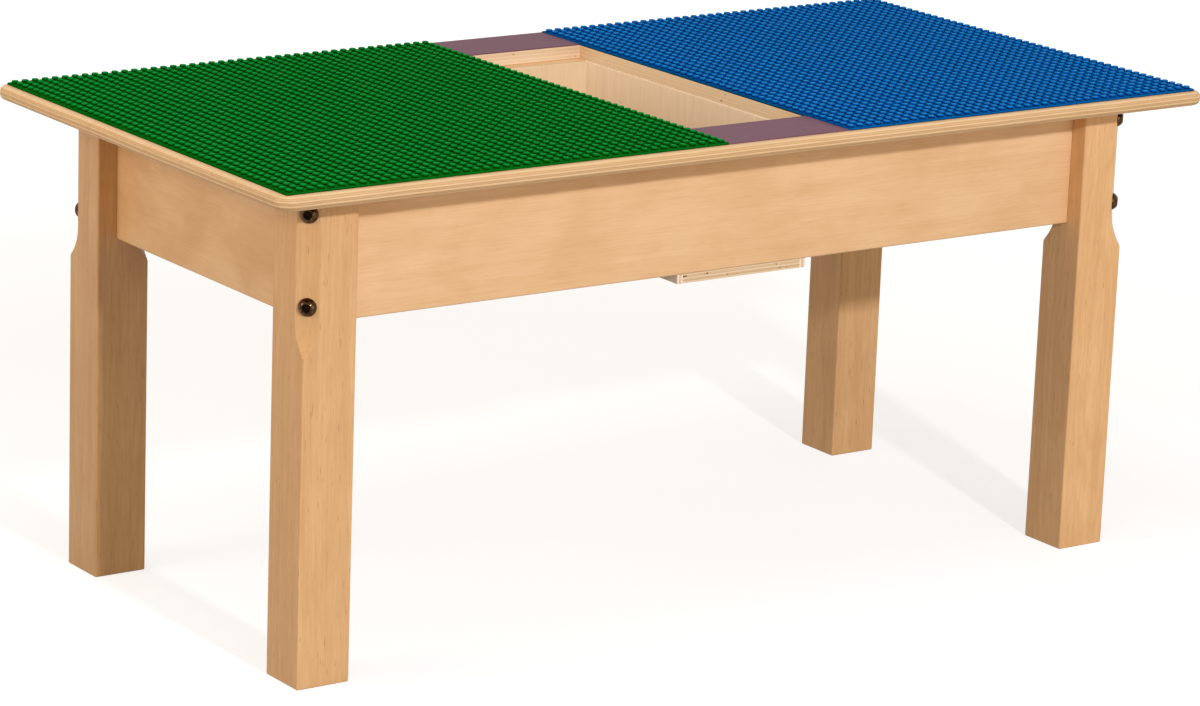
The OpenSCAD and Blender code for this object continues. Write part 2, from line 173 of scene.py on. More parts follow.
class BinSettings(bpy.types.PropertyGroup):
    """Bin between the plates."""
    ease: length(0.4, "Edge radius", "Rounding of the bin's edges")
    apron_gap: length(0.5, "Apron gap", "Clearance between a long wall and the aprons")
    wall_plies: IntProperty(name="Wall plies", description="Layers of veneer in a wall",
                            default=3, min=3, max=9)
    floor_plies: IntProperty(name="Floor plies", description="Layers of veneer in the floor",
                             default=5, min=3, max=9)
    figure: share(0.17, "Figure", "Strength of the grain on the bin's faces")
    # Both bin colours are paler than the top's veneer, partly the thin plywood's own colour and partly
    # painted light for the bin's dim inside; the long walls' paler colour is painted light.
    veneer: colour("#edd5af", "Veneer", "Colour of the bin's end walls and floor")
    long_wall_painted_light_veneer: colour("#ffefd8", "Long veneer", "Colour of the bin's long walls")


class BoltSettings(bpy.types.PropertyGroup):
    """Leg bolts and the hidden fasteners."""
    head_diameter: length(13.0, "Head diameter", "Diameter of a leg bolt's head")
    head_height: length(4.6, "Head height", "Height of a leg bolt's head")
    rim_diameter: length(6.8, "Rim diameter", "Diameter of the rim round the recess in the head")
    recess_diameter: length(6.0, "Recess diameter", "Diameter of the round recess in the head")
    recess_depth: length(0.7, "Recess depth", "Depth of the round recess in the head")
    socket_width: length(4.0, "Socket", "Width across the flats of the hexagon socket")
    socket_depth: length(2.6, "Socket depth", "Depth of the hexagon socket")
    shank_diameter: length(6.0, "Shank", "Diameter of a leg bolt's shank")
    bronze: colour("#35261a", "Bronze", "Colour of the leg bolts")
    zinc: colour("#c4c6c8", "Zinc", "Colour of screws, nuts and washers")


class StageSettings(bpy.types.PropertyGroup):
    """Floor, light and camera."""
    floor: colour("#a8a8a8", "Floor", "Colour that the floor scatters")
    glow: share(0.74, "Glow", "White that the floor under the table shows the camera besides")
    key: share(0.475, "Key", "Light of the high front lamp, as a share of full light")
    fill: share(0.24, "Fill", "Light of the left lamp, as a share of full light")
    front: share(0.15, "Front", "Light of the low front lamp, as a share of full light")
    top: share(0.18, "Top", "Light of the lamp overhead, as a share of full light")
    sky: share(0.41, "Sky", "Light from all round, as a share of full light")
    warmth: colour("#ffeed6", "Warmth", "Colour of the left and low lamps and of the light from all round")


class TableSettings(bpy.types.PropertyGroup):
    """All settings of the table."""
    plates: PointerProperty(type=PlateSettings)
    top: PointerProperty(type=TopSettings)
    timber: PointerProperty(type=TimberSettings)
    bin: PointerProperty(type=BinSettings)
    bolts: PointerProperty(type=BoltSettings)
    stage: PointerProperty(type=StageSettings)


# Surfaces

def quarter(steps):
    """Even angles over a quarter turn."""
    return np.radians(np.linspace(0, 90, steps + 1))


def grid_quads(rows, columns, wrap_rows=False, wrap_columns=False, first=0):
    """Faces of a grid of points numbered row by row: each joins a point, its neighbour along the
    row, and the two points below them. A wrapped direction joins its last line to its first."""
    r = np.arange(rows if wrap_rows else rows - 1)[:, None]
    c = np.arange(columns if wrap_columns else columns - 1)[None, :]
    r1, c1 = (r + 1) % rows, (c + 1) % columns
    corners = (r * columns + c, r * columns + c1, r1 * columns + c1, r1 * columns + c)
    return np.stack(corners, -1).reshape(-1, 4) + first


def end_faces(rows, columns):
    """The first row of such a grid as one face, turned round, and the last row as another."""
    row = np.arange(columns)[None]
    return row[:, ::-1], (rows - 1) * columns + row


def face_normals(points, faces):
    """Sum of the cross products of a face's edges from its first corner: its direction is the
    face's normal and its length is twice the face's area."""
    p = points[faces]
    edges = p[:, 1:] - p[:, :1]
    return np.cross(edges[:, :-1], edges[:, 1:]).sum(1)


def enclosed_volume(points, groups):
    """A sixth of the sum, over the faces, of a corner times the face's doubled area vector."""
    return sum((points[f[:, 0]] * face_normals(points, f)).sum() for g in groups for f in g) / 6


def make_mesh(name, points, groups):
    """Puts points and faces into a mesh. Each group is a list of face arrays that shade smoothly
    into each other: a corner's normal is the sum of the area vectors of the group's faces there,
    and edges between groups stay sharp. Faces are turned to point outwards."""
    if enclosed_volume(points, groups) < 0:
        groups = [[f[:, ::-1] for f in g] for g in groups]
    shortest = 1e-20
    corner_normals = []
    for group in groups:
        total = np.zeros_like(points)
        for faces in group:
            normals = face_normals(points, faces)
            for corner in range(faces.shape[1]):
                np.add.at(total, faces[:, corner], normals)
        total /= np.maximum(np.linalg.norm(total, axis=1, keepdims=True), shortest)
        corner_normals += [total[faces.ravel()] for faces in group]
    faces = [f for g in groups for f in g]
    corners = np.concatenate([f.ravel() for f in faces])
    counts = np.concatenate([np.full(len(f), f.shape[1]) for f in faces])
    mesh = bpy.data.meshes.new(name)
    mesh.vertices.add(len(points))
    mesh.vertices.foreach_set("co", points.astype(np.float32).ravel())
    mesh.loops.add(len(corners))
    mesh.loops.foreach_set("vertex_index", corners.astype(np.int32))
    mesh.polygons.add(len(counts))
    mesh.polygons.foreach_set("loop_start", (np.cumsum(counts) - counts).astype(np.int32))
    mesh.update(calc_edges=True)
    mesh.polygons.foreach_set("use_smooth", np.ones(len(counts), bool))
    mesh.normals_split_custom_set(np.concatenate(corner_normals).tolist())
    return mesh


def joined(shapes):
    """Several shapes, each its points and groups, as one, with the later ones' corners renumbered.
    Groups of the same place in each shape become one group."""
    points, groups, first = [], [], 0
    for shape_points, shape_groups in shapes:
        points.append(shape_points)
        for i, group in enumerate(shape_groups):
            if i == len(groups):
                groups.append([])
            groups[i] += [f + first for f in group]
        first += len(shape_points)
    return np.concatenate(points), groups


def placed(shape, matrix):
    """The shape turned and moved by a matrix."""
    points, groups = shape
    m = np.array(matrix)
    return points @ m[:3, :3].T + m[:3, 3], groups


def rounded_block(low, high, radii):
    """Box with rounded edges: each point of a box's surface is moved to the nearest point of a
    smaller core box, plus the radii times the unit vector that leads there. The surface is a grid
    on each of the six faces, whose lines lie at the core's edges and at even angles beyond them.
    Points that agree to the last digit kept are one."""
    steps, digits = 3, 8
    low, high, radii = (np.asarray(v, float) for v in (low, high, radii))
    middle, half = (low + high) / 2, (high - low) / 2
    core = half - radii
    reach = np.tan(np.radians(np.linspace(0, 45, steps + 1)))
    lines = [np.concatenate([-core[a] - radii[a] * reach[::-1], core[a] + radii[a] * reach])
             for a in range(3)]
    points, faces = [], []
    for a in range(3):
        b, c = (a + 1) % 3, (a + 2) % 3
        for sign in (-1, 1):
            p = np.zeros((len(lines[b]), len(lines[c]), 3))
            p[..., a] = sign * half[a]
            p[..., b] = lines[b][:, None]
            p[..., c] = lines[c][None, :]
            quads = grid_quads(*p.shape[:2], first=sum(len(q) for q in points))
            faces.append(quads if sign < 0 else quads[:, ::-1])
            points.append(p.reshape(-1, 3))
    points = np.concatenate(points)
    inner = np.clip(points, -core, core)
    unit = (points - inner) / radii
    unit /= np.linalg.norm(unit, axis=1, keepdims=True)
    points = middle + inner + radii * unit
    _, keep, place = np.unique(np.round(points, digits), axis=0, return_index=True, return_inverse=True)
    return points[keep], [[place.ravel()[np.concatenate(faces)]]]


def slab(outline, depths, ease, axes):
    """Board cut to a rectilinear outline: the outline is repeated through the depth, drawn in by a
    quarter circle's amount at both faces, and each of its sides is flat. axes names the outline's
    two axes and the depth's."""
    outline = np.asarray(outline, float)
    count = len(outline)
    ahead = np.sign(np.roll(outline, -1, 0) - outline)
    inward = np.stack([-ahead[:, 1], ahead[:, 0]], 1)
    inward = inward + np.roll(inward, 1, 0)
    inset, rise = ease * (1 - np.sin(quarter(3))), ease * (1 - np.cos(quarter(3)))
    depth = np.concatenate([depths[0] + rise, depths[1] - rise[::-1]])
    rows = outline[None] + np.concatenate([inset, inset[::-1]])[:, None, None] * inward[None]
    points = np.zeros((len(depth), count, 3))
    points[..., axes[0]] = rows[..., 0]
    points[..., axes[1]] = rows[..., 1]
    points[..., axes[2]] = depth[:, None]
    walls = grid_quads(len(depth), count, wrap_columns=True).reshape(-1, count, 4)
    sides = [[walls[:, side]] for side in range(count)]
    return points.reshape(-1, 3), sides + [[face] for face in end_faces(len(depth), count)]


def rounded_loop(half, radius, steps=8):
    """Rectangle with round corners as one loop of points: the middle of each corner's circle plus
    the radius times the direction, over a quarter turn at each corner."""
    turn = np.concatenate([quarter(steps) + k * np.pi / 2 for k in range(4)])
    signs = np.repeat([(1, 1), (-1, 1), (-1, -1), (1, -1)], steps + 1, axis=0)
    middle = signs * (np.asarray(half) - radius)
    return middle + radius * np.stack([np.cos(turn), np.sin(turn)], 1)


def top_shape(settings, low, high, mouth_low, mouth_high):
    """Top with its mouth: loops of the same number of points, from the mouth's lower edge out
    along the underside, round the rounded outer edge, in over the top face and down the mouth.
    An edge's rounding draws a loop in by r times one minus the cosine of an angle, at r times its
    sine above the rounding's middle."""
    middle, half = (low + high)[:2] / 2, (high - low)[:2] / 2
    hole_middle, hole_half = (mouth_low + mouth_high) / 2, (mouth_high - mouth_low) / 2
    outer = (middle, half, settings.edge_radius, settings.corner_radius, -1, quarter(8))
    mouth = (hole_middle, hole_half, settings.mouth_ease, settings.mouth_corner, 1, quarter(3))
    loops = []
    for (centre, size, ease, corner, growth, turns), end, way in (
            (outer, low[2], 1), (outer, high[2], -1), (mouth, high[2], -1), (mouth, low[2], 1)):
        for turn in turns[::way * growth]:
            more, rise = growth * ease * (1 - np.cos(turn)), ease * (1 - np.sin(turn))
            ring = centre + rounded_loop(size + more, corner + more)
            loops.append(np.column_stack([ring, np.full(len(ring), end + way * rise)]))
    return np.concatenate(loops), [[grid_quads(len(loops), len(loops[0]), True, True)]]


def leg_shape(settings, low, high, right, rear):
    """Square leg, turned so that its outer corner points away from the table's middle. A section
    is four corner points, each with a quarter circle round it; at the outer and inner corner the
    point is two points, moved apart along the faces by the cut, with an eighth of a circle round
    each. The cut is the flat's width above the run-out, and follows the cutter's circle in it: its
    radius is the sum of the squares of the run-out's length and depth over twice the depth. The
    run-out's rows crowd towards its foot, where the cut starts."""
    ease, foot, cove = settings.leg_ease, settings.foot_ease, settings.cove_length
    cove_rows, crowding, lead = 25, 0.8, 1.0 * MM
    depth = settings.flat_width / ROOT_2
    cutter = (cove ** 2 + depth ** 2) / (2 * depth)
    flat_z = high[2] - settings.flat_height
    climb = np.linspace(0, 1, cove_rows) ** crowding
    rise, inward = foot * (1 - np.sin(quarter(3))), foot * (1 - np.cos(quarter(3)))
    heights = np.concatenate([low[2] + rise[::-1], flat_z - cove * (1 - climb),
                              [flat_z + lead], high[2] - rise])
    inset = np.concatenate([inward[::-1], np.zeros(cove_rows + 1), inward])
    below = np.clip(flat_z - heights, 0, cove)
    cut = ROOT_2 * (depth - cutter + np.sqrt(cutter ** 2 - below ** 2))
    cut = np.maximum(cut - ease * (2 - ROOT_2), 0)
    far = np.full_like(cut, (high[0] - low[0]) / 2 - ease)
    near = far - cut
    arcs = ((far, near, 0, 45), (near, far, 45, 90), (-far, far, 90, 180),
            (-far, -near, 180, 225), (-near, -far, 225, 270), (far, -far, 270, 360))
    radius = (ease - inset)[:, None]
    rings = []
    for x, y, start, end in arcs:
        steps = 4 if end - start > 45 else 3
        turn = np.radians(np.linspace(start, end, steps + 1))
        rings.append(np.stack([x[:, None] + radius * np.cos(turn), y[:, None] + radius * np.sin(turn)], -1))
    section = np.concatenate(rings, 1) * np.array([right, rear]) + (low + high)[:2] / 2
    rows, count = section.shape[:2]
    points = np.concatenate([section, np.broadcast_to(heights[:, None, None], (rows, count, 1))], -1)
    return points.reshape(-1, 3), [[grid_quads(rows, count, wrap_columns=True), *end_faces(rows, count)]]


def stud_plate_shape(settings, low, high):
    """Plate with a stud on each square of its grid. A square's face is joined to its stud's foot
    by triangles that run to the nearest corner of the square; each stud is three rings, the foot,
    the lower and the upper edge of its chamfer, and a cap. Rings and squares are one array each,
    made by adding the grid's places to one ring."""
    pitch, ease, sides = settings.stud_pitch, settings.stud_ease, settings.stud_sides
    nx, ny = np.round((high - low)[:2] / pitch).astype(int)
    face_z = high[2] - settings.stud_height
    turn = (np.arange(sides) + 0.5) * 2 * np.pi / sides
    radius = settings.stud_diameter / 2 - np.array([0, 0, ease])
    ring = np.zeros((3, sides, 3))
    ring[..., 0] = radius[:, None] * np.cos(turn)
    ring[..., 1] = radius[:, None] * np.sin(turn)
    ring[..., 2] = np.array([face_z, high[2] - ease, high[2]])[:, None]
    places = np.zeros((ny, nx, 1, 1, 3))
    places[..., 0] = (low[0] + (np.arange(nx) + 0.5) * pitch)[None, :, None, None]
    places[..., 1] = (low[1] + (np.arange(ny) + 0.5) * pitch)[:, None, None, None]
    studs = (places + ring).reshape(-1, 3)
    first = (np.arange(nx * ny) * 3 * sides)[:, None, None]
    k = np.arange(sides)
    k1 = (k + 1) % sides
    walls = (grid_quads(3, sides, wrap_columns=True)[None] + first).reshape(-1, 4)
    caps = (2 * sides + k[None, None] + first).reshape(-1, sides)

    # The plate's face: each square's corners, and the triangles from them to the stud's foot
    xs = np.clip(low[0] + np.arange(nx + 1) * pitch, low[0] + ease, high[0] - ease)
    ys = np.clip(low[1] + np.arange(ny + 1) * pitch, low[1] + ease, high[1] - ease)
    face = np.zeros((ny + 1, nx + 1, 3))
    face[..., 0], face[..., 1], face[..., 2] = xs[None, :], ys[:, None], face_z
    face = face.reshape(-1, 3)
    base = len(studs)
    row, col = np.divmod(np.arange(nx * ny), nx)
    corner = base + row * (nx + 1) + col
    square = np.stack([corner + nx + 2, corner + nx + 1, corner, corner + 1], -1)
    nudge = 1e-6
    quadrant = np.floor((k + 1) * 4 / sides + nudge).astype(int) % 4
    first = first[:, 0]
    spokes = np.stack([first + k1, first + k, square[:, quadrant]], -1).reshape(-1, 3)
    change = k[quadrant != np.roll(quadrant, -1)]
    bridge = np.stack([first + k1[change], square[:, quadrant[change]],
                       square[:, quadrant[(change + 1) % sides]]], -1).reshape(-1, 3)

    # The plate's rim: round the face, out and down by the ease, and down to the underside
    grid = np.arange((nx + 1) * (ny + 1)).reshape(ny + 1, nx + 1)
    rim = np.concatenate([grid[0, :-1], grid[:-1, -1], grid[-1, :0:-1], grid[:0:-1, 0]])
    edge = face[rim]
    outward = np.sign(edge[:, :2] - (low + high)[:2] / 2)
    on_edge = (edge[:, :2] == face[0, :2]) | (edge[:, :2] == face[-1, :2])
    edge[:, :2] += outward * on_edge * ease
    edge[:, 2] -= ease
    foot = edge.copy()
    foot[:, 2] = low[2]
    rim_first = base + len(face)
    loop = np.arange(len(rim))
    rows = np.stack([base + rim, rim_first + loop, rim_first + len(rim) + loop])
    skirt = rows.ravel()[grid_quads(*rows.shape, wrap_columns=True)]
    under = rows[-1][None]
    points = np.concatenate([studs, face, edge, foot])
    return points, [[walls, caps], [spokes[:, ::-1], bridge[:, ::-1], skirt[:, ::-1], under[:, ::-1]]]


def bolt_shape(settings, shank_end):
    """Leg bolt along Z with its head's seat at height 0: a profile from the shank's end over the
    dome into the round recess is turned about the axis, and the socket's rings are hexagons, whose
    radius is the half width over the cosine of the angle from the nearest flat's middle. The dome
    is part of a ball, whose radius is the sum of the squares of the head's half width and height
    over twice the height. Besides the shape it gives each point's mark for the recess, 1 inside
    it."""
    head, rise, shank = settings.head_diameter / 2, settings.head_height, settings.shank_diameter / 2
    recess, sides, flare = settings.recess_diameter / 2, 48, 1.08
    step, recess_ease, socket_ease, shank_ease = 0.1 * MM, 0.15 * MM, 0.2 * MM, 0.4 * MM
    ball = (head ** 2 + rise ** 2) / (2 * rise)
    tilt = np.linspace(math.asin((head - step) / ball), math.asin(settings.rim_diameter / 2 / ball), 9)
    dome_z = rise - ball + ball * np.cos(tilt)
    rim_z = dome_z[-1]
    floor_z = rim_z - settings.recess_depth
    end_z = -shank_end
    under_head = [(shank - shank_ease, end_z), (shank, end_z + shank_ease), (shank, 0)]
    dome = [(head - step, 0), *zip(ball * np.sin(tilt), dome_z), (recess + step, rim_z)]
    bore = [(recess, rim_z - recess_ease), (recess, floor_z)]
    profile = np.array(under_head + dome + bore)
    turn = np.arange(sides) * 2 * np.pi / sides
    hexagon = settings.socket_width / 2 / np.cos(np.mod(turn, np.pi / 3) - np.pi / 6)
    radii = np.concatenate([np.repeat(profile[:, :1], sides, 1),
                            [hexagon * flare, hexagon, hexagon]])
    socket_z = [floor_z, floor_z - socket_ease, rise - settings.socket_depth]
    heights = np.append(profile[:, 1], socket_z)
    rows = len(heights)
    points = np.stack([radii * np.cos(turn), radii * np.sin(turn),
                       np.broadcast_to(heights[:, None], radii.shape)], -1)
    quads = grid_quads(rows, sides, wrap_columns=True).reshape(rows - 1, sides, 4)
    ends = end_faces(rows, sides)
    head_start, socket_start = len(under_head), len(profile) - 1
    groups = [[quads[:head_start].reshape(-1, 4), ends[0]],
              [quads[head_start:socket_start].reshape(-1, 4)],
              [quads[socket_start:].reshape(-1, 4), ends[1]]]
    sunk = np.repeat(np.arange(rows) >= len(under_head + dome), sides).astype(np.float32)
    return (points.reshape(-1, 3), groups), sunk


# Materials

def add_node(tree, kind, *values, inputs=None, out=None, **settings):
    """Adds a shader node, whose kind may have its operation behind a dot. Its inputs, the first
    ones in order and others by name or place, are each a value or an output to link. Gives its
    first output, or the one that out names, and nothing for a node that has none."""
    kind, _, operation = kind.partition(".")
    node = tree.nodes.new("ShaderNode" + kind)
    if operation:
        node.operation = operation
    for key, value in settings.items():
        setattr(node, key, value)
    for key, value in (*enumerate(values), *(inputs or {}).items()):
        if isinstance(value, bpy.types.NodeSocket):
            tree.links.new(value, node.inputs[key])
        else:
            node.inputs[key].default_value = value
    return next(iter(node.outputs), None) if out is None else node.outputs[out]


def new_material(name):
    """Material without nodes, and the function that adds one to it."""
    material = bpy.data.materials.new(name)
    material.use_nodes = True
    material.node_tree.nodes.clear()
    return material, partial(add_node, material.node_tree)


def object_place(add, shift=(0.0, 0.0, 0.0)):
    """Object coordinates, moved so that each piece is cut from another part of the tree."""
    return add("Mapping", add("TexCoord", out="Object"), shift)


def grain_noise(add, place, along, width_mm, stretch, detail=2.0, roughness=0.5, distortion=0.0):
    """Noise whose spots are width_mm across the grain and stretch times as long along it."""
    scale = [1.0, 1.0, 1.0]
    scale[along] = 1.0 / stretch
    spread = add("Mapping", place, inputs={"Scale": scale})
    return add("TexNoise", spread, inputs={"Scale": 1.0 / (width_mm * MM), "Detail": detail,
                                           "Roughness": roughness, "Distortion": distortion})


def overlay(add, base, cover, pattern, low, high, strength, blend="MIX"):
    """Colour with a cover on it, which grows with a pattern's value from low to high, up to its
    strength."""
    amount = add("MapRange", pattern, low, high, 0.0, strength)
    return add("Mix", amount, inputs={MIX_A: base, MIX_B: cover}, blend_type=blend, **MIX_COLOURS)


def direct_view(add):
    """1 on rays from the camera, off mirrors and through glass, and 0 on others: the larger of the
    three marks."""
    camera, mirrored, passed = (add("LightPath", out=f"Is {ray} Ray")
                                for ray in ("Camera", "Glossy", "Transmission"))
    return add("Math.MAXIMUM", camera, add("Math.MAXIMUM", mirrored, passed))


def maple(name, along, light, dark, shift, lines, fleck, cloud,
          knot=0.0, heart=(0.0, 0.0, 0.0), arches=0.0):
    """Sanded maple under clear satin lacquer: close, even grain in streaks about 14 mm wide and
    fibres under 1 mm, faint clouds across the board, small dark flecks, a few pin knots, and a
    soft gloss. Lines, fleck, cloud and knot are strengths, as is arches, that of the pointed
    arches where growth rings 4.6 mm apart leave the board: the sine of the distance from the
    heart, in which the way along the grain counts for an eighth, bent by a noise."""
    ring, flattening, bending = 4.6 * MM, 0.125, 14.0
    material, add = new_material(name)
    place = object_place(add, shift)
    streaks = grain_noise(add, place, along, 14.0, 16.0, 4.0, 0.6, 0.7)
    rings = grain_noise(add, place, along, 3.4, 45.0, 4.0, 0.7, 0.5)
    fibres = grain_noise(add, place, along, 0.6, 40.0)
    clouds = grain_noise(add, place, along, 38.0, 1.6, 3.0, 0.55, 0.4)
    flecks = grain_noise(add, place, along, 1.1, 10.0, 1.0)
    knots = add("TexVoronoi", place, inputs={"Scale": 9.0})
    tone = add("Math.ADD", add("MapRange", streaks, *SPREAD, 0.0, 0.4),
               add("MapRange", rings, 0.35, 0.7, 0.0, lines))
    base = add("Mix", tone, inputs={MIX_A: light, MIX_B: dark}, **MIX_COLOURS)
    base = overlay(add, base, dark, clouds, 0.38, 0.66, cloud)
    base = overlay(add, base, dark, fibres, 0.4, 0.75, 0.2, "MULTIPLY")
    base = overlay(add, base, linear("#8f5a2c"), flecks, 0.68, 0.78, fleck)
    base = overlay(add, base, linear("#a87846"), knots, 0.035, 0.012, knot)

    counted = [1.0, 1.0, 1.0]
    counted[along] = flattening
    from_heart = add("VectorMath.SUBTRACT", object_place(add), heart)
    from_heart = add("VectorMath.MULTIPLY", from_heart, counted)
    from_heart = add("VectorMath.LENGTH", from_heart, out="Value")
    bent = add("Math.MULTIPLY", grain_noise(add, place, along, 15.0, 3.0), bending)
    wave = add("Math.SINE", add("Math.MULTIPLY_ADD", from_heart, 2 * math.pi / ring, bent))
    base = overlay(add, base, scaled(dark, 0.94), wave, -0.1, 1.0, arches)

    shader = add("BsdfPrincipled", base, inputs={
        "Roughness": add("MapRange", streaks, *SPREAD, 0.36, 0.46),
        "Normal": add("Bump", inputs={"Height": fibres, "Strength": 0.12, "Distance": 0.15 * MM}),
        "IOR": 1.5, "Specular IOR Level": 0.35})
    add("OutputMaterial", shader)
    return material


def birch_ply(name, settings, box, across, along, veneer, plies, figure, filled=1.0, pale_cut_and_painted_light=0.0):
    """Lacquered birch plywood, as a solid: plies lie across one axis of the box from its low side,
    every other one shows its end grain, darker towards the low side, with a thin dark glue line
    between two plies and small open voids in the inner ones. Beyond the distance filled from the
    middle the voids are filled and sanded. Nearer, the cut is fresh from the saw and painted paler
    by the share that the last argument gives, partly its fresh colour and partly painted light. The
    faces have the veneer's fine straight grain, with figure as its strength. A place's depth in
    plies is its distance from the low side over a ply's thickness, bent by a noise."""
    low, high = (corner[across] for corner in box)
    skin = 0.7
    material, add = new_material(name)
    place = object_place(add)
    bend = add("MapRange", grain_noise(add, place, across, 90.0, 1.0), *SPREAD, -0.2, 0.2)
    above = add("Math.SUBTRACT", add("SeparateXYZ", place, out=across), low)
    depth = add("Math.MULTIPLY_ADD", above, plies / (high - low), bend)
    crossed = add("Math.FLOORED_MODULO", add("Math.FLOOR", depth), 2.0)
    inner = add("Math.MULTIPLY", add("Math.GREATER_THAN", depth, skin),
                add("Math.LESS_THAN", depth, plies - skin))
    ends = add("Math.MULTIPLY", crossed, inner)
    off_centre = add("Math.ABSOLUTE", add("Math.SUBTRACT", add("Math.FRACT", depth), 0.5))
    glue = add("Math.MULTIPLY", add("MapRange", off_centre, 0.38, 0.46), inner)
    away = add("VectorMath.LENGTH", place, out="Value")
    sawn_cut_and_painted_light = add("MapRange", away, filled, filled * 1.05, 1.0, 0.0)
    contrast = add("MapRange", sawn_cut_and_painted_light, 0.0, 1.0, 1.0, 0.65)
    shade = add("MapRange", depth, 1.0, plies, 0.85, 0.35)
    dark = add("Math.MULTIPLY", add("Math.MULTIPLY", ends, contrast), shade)
    glue_line = add("Math.MULTIPLY", glue, contrast)
    void = add("MapRange", grain_noise(add, place, 1, 3.5, 2.5, 1.0), 0.7, 0.73)
    for limit in (ends, add("MapRange", off_centre, 0.3, 0.38, 1.0, 0.0), sawn_cut_and_painted_light):
        void = add("Math.MULTIPLY", void, limit)

    streaks = grain_noise(add, place, along, 4.0, 18.0, 3.0, 0.6, 0.5)
    fibres = grain_noise(add, place, along, 0.7, 45.0)
    pores = grain_noise(add, place, across, 0.8, 1.0)
    face = overlay(add, veneer, settings.end_grain, streaks, 0.3, 0.75, figure)
    face = overlay(add, face, settings.end_grain, fibres, 0.35, 0.75, 0.63 * figure, "MULTIPLY")
    cut = overlay(add, settings.end_grain, settings.glue, pores, *SPREAD, 0.4)
    base = overlay(add, face, cut, dark, 0.0, 1.0, 1.0)
    base = overlay(add, base, settings.glue, glue_line, 0.0, 1.0, 0.6)
    # Partly painted light: the cut near the middle is painted paler, besides its fresh colour.
    base = overlay(add, base, linear("#fff0d6"), sawn_cut_and_painted_light, 0.0, 1.0, pale_cut_and_painted_light)
    base = overlay(add, base, linear("#4a3218"), void, 0.0, 1.0, 1.0)
    height = add("Math.SUBTRACT", add("Math.MULTIPLY", fibres, 0.3), add("Math.ADD", glue, void))
    shader = add("BsdfPrincipled", base, inputs={
        "Roughness": add("MapRange", streaks, *SPREAD, 0.4, 0.5),
        "Normal": add("Bump", inputs={"Height": height, "Strength": 0.15, "Distance": 0.2 * MM}),
        "IOR": 1.5, "Specular IOR Level": 0.35})
    add("OutputMaterial", shader)
    return material


def moulded_abs(name, settings, tint, highlight_tint, low, high):
    """Injection moulded ABS: one strong colour with hardly any drift, and the fine satin of an
    etched mould, which breaks the shine up at a quarter of a millimetre. A painted highlight makes
    the middles of the studs' tops lighter, and painted shade makes the plate's face between them a
    little darker. A stud's middle is the middle of a square: the fraction of the place over the
    pitch is a half in both directions."""
    top_z = high[2]
    face_z = top_z - settings.stud_height
    squares = (1 / settings.stud_pitch, 1 / settings.stud_pitch, 0.0)
    material, add = new_material(name)
    place = object_place(add)
    height = add("SeparateXYZ", place, out="Z")
    drift = grain_noise(add, place, 2, 30.0, 1.0)
    grit = grain_noise(add, place, 2, 0.25, 1.0, 1.0)
    in_square = add("VectorMath.MULTIPLY", object_place(add, (-low[0], -low[1], 0.0)), squares)
    in_square = add("VectorMath.FRACTION", in_square)
    from_stud = add("VectorMath.DISTANCE", in_square, (0.5, 0.5, 0.0), out="Value")
    # Painted highlight: the middles of the studs' tops are mixed towards the lighter tint.
    painted_highlight = add("Math.MULTIPLY", add("MapRange", height, top_z - 0.35 * MM, top_z - 0.05 * MM),
               add("MapRange", from_stud, 0.15, 0.31, 1.0, 0.0))
    shade = overlay(add, tint, linear("#101820"), drift, *SPREAD, 0.12)
    # Painted shade: the plate's face between the studs, up to 0.9 mm above it, is darkened.
    shade = overlay(add, shade, linear("#04100c"), height, face_z + 0.9 * MM, face_z + 0.1 * MM, 0.1)
    shade = add("Mix", painted_highlight, inputs={MIX_A: shade, MIX_B: highlight_tint}, **MIX_COLOURS)
    shader = add("BsdfPrincipled", shade, inputs={
        "Roughness": add("MapRange", drift, *SPREAD, 0.46, 0.54),
        "Normal": add("Bump", inputs={"Height": grit, "Strength": 0.08, "Distance": 0.05 * MM}),
        "IOR": 1.53, "Specular IOR Level": 0.002})
    add("OutputMaterial", shader)
    return material


def laminate_sheet(name, tint):
    """High pressure laminate with a plain purple print: flat colour with a faint mottle, and a
    fine pebbled texture from the press plate that keeps it from shining."""
    material, add = new_material(name)
    place = object_place(add)
    mottle = grain_noise(add, place, 2, 9.0, 1.0, 3.0, 0.6)
    pebble = grain_noise(add, place, 2, 0.5, 1.0, 1.0)
    shade = overlay(add, tint, linear("#5f4350"), mottle, *SPREAD, 0.18)
    shader = add("BsdfPrincipled", shade, inputs={
        "Normal": add("Bump", inputs={"Height": pebble, "Strength": 0.1, "Distance": 0.06 * MM}),
        "Roughness": 0.5, "IOR": 1.5, "Specular IOR Level": 0.08})
    add("OutputMaterial", shader)
    return material


def metal(name, tint, rubbed_tint, gloss):
    """Plated steel: metallic, with soft spots about 2 mm wide where the finish is rubbed lighter, the
    roughness between the two values of gloss, and painted shade in a recess: a black, dull bottom
    there, which the mesh marks with its attribute sunk."""
    material, add = new_material(name)
    rub = grain_noise(add, object_place(add), 2, 2.0, 1.0, 3.0, 0.6)
    sunk = add("Attribute", attribute_name="sunk", out="Fac")
    shade = overlay(add, tint, rubbed_tint, rub, 0.4, 0.7, 0.8)
    # Painted shade: the recess that the attribute marks is painted nearly black.
    shade = overlay(add, shade, linear("#0c0a09"), sunk, 0.0, 1.0, 0.9)
    rough = add("Math.MULTIPLY_ADD", sunk, 0.25, add("MapRange", rub, *SPREAD, *gloss))
    shader = add("BsdfPrincipled", shade, inputs={"Roughness": rough, "Metallic": 1.0})
    add("OutputMaterial", shader)
    return material


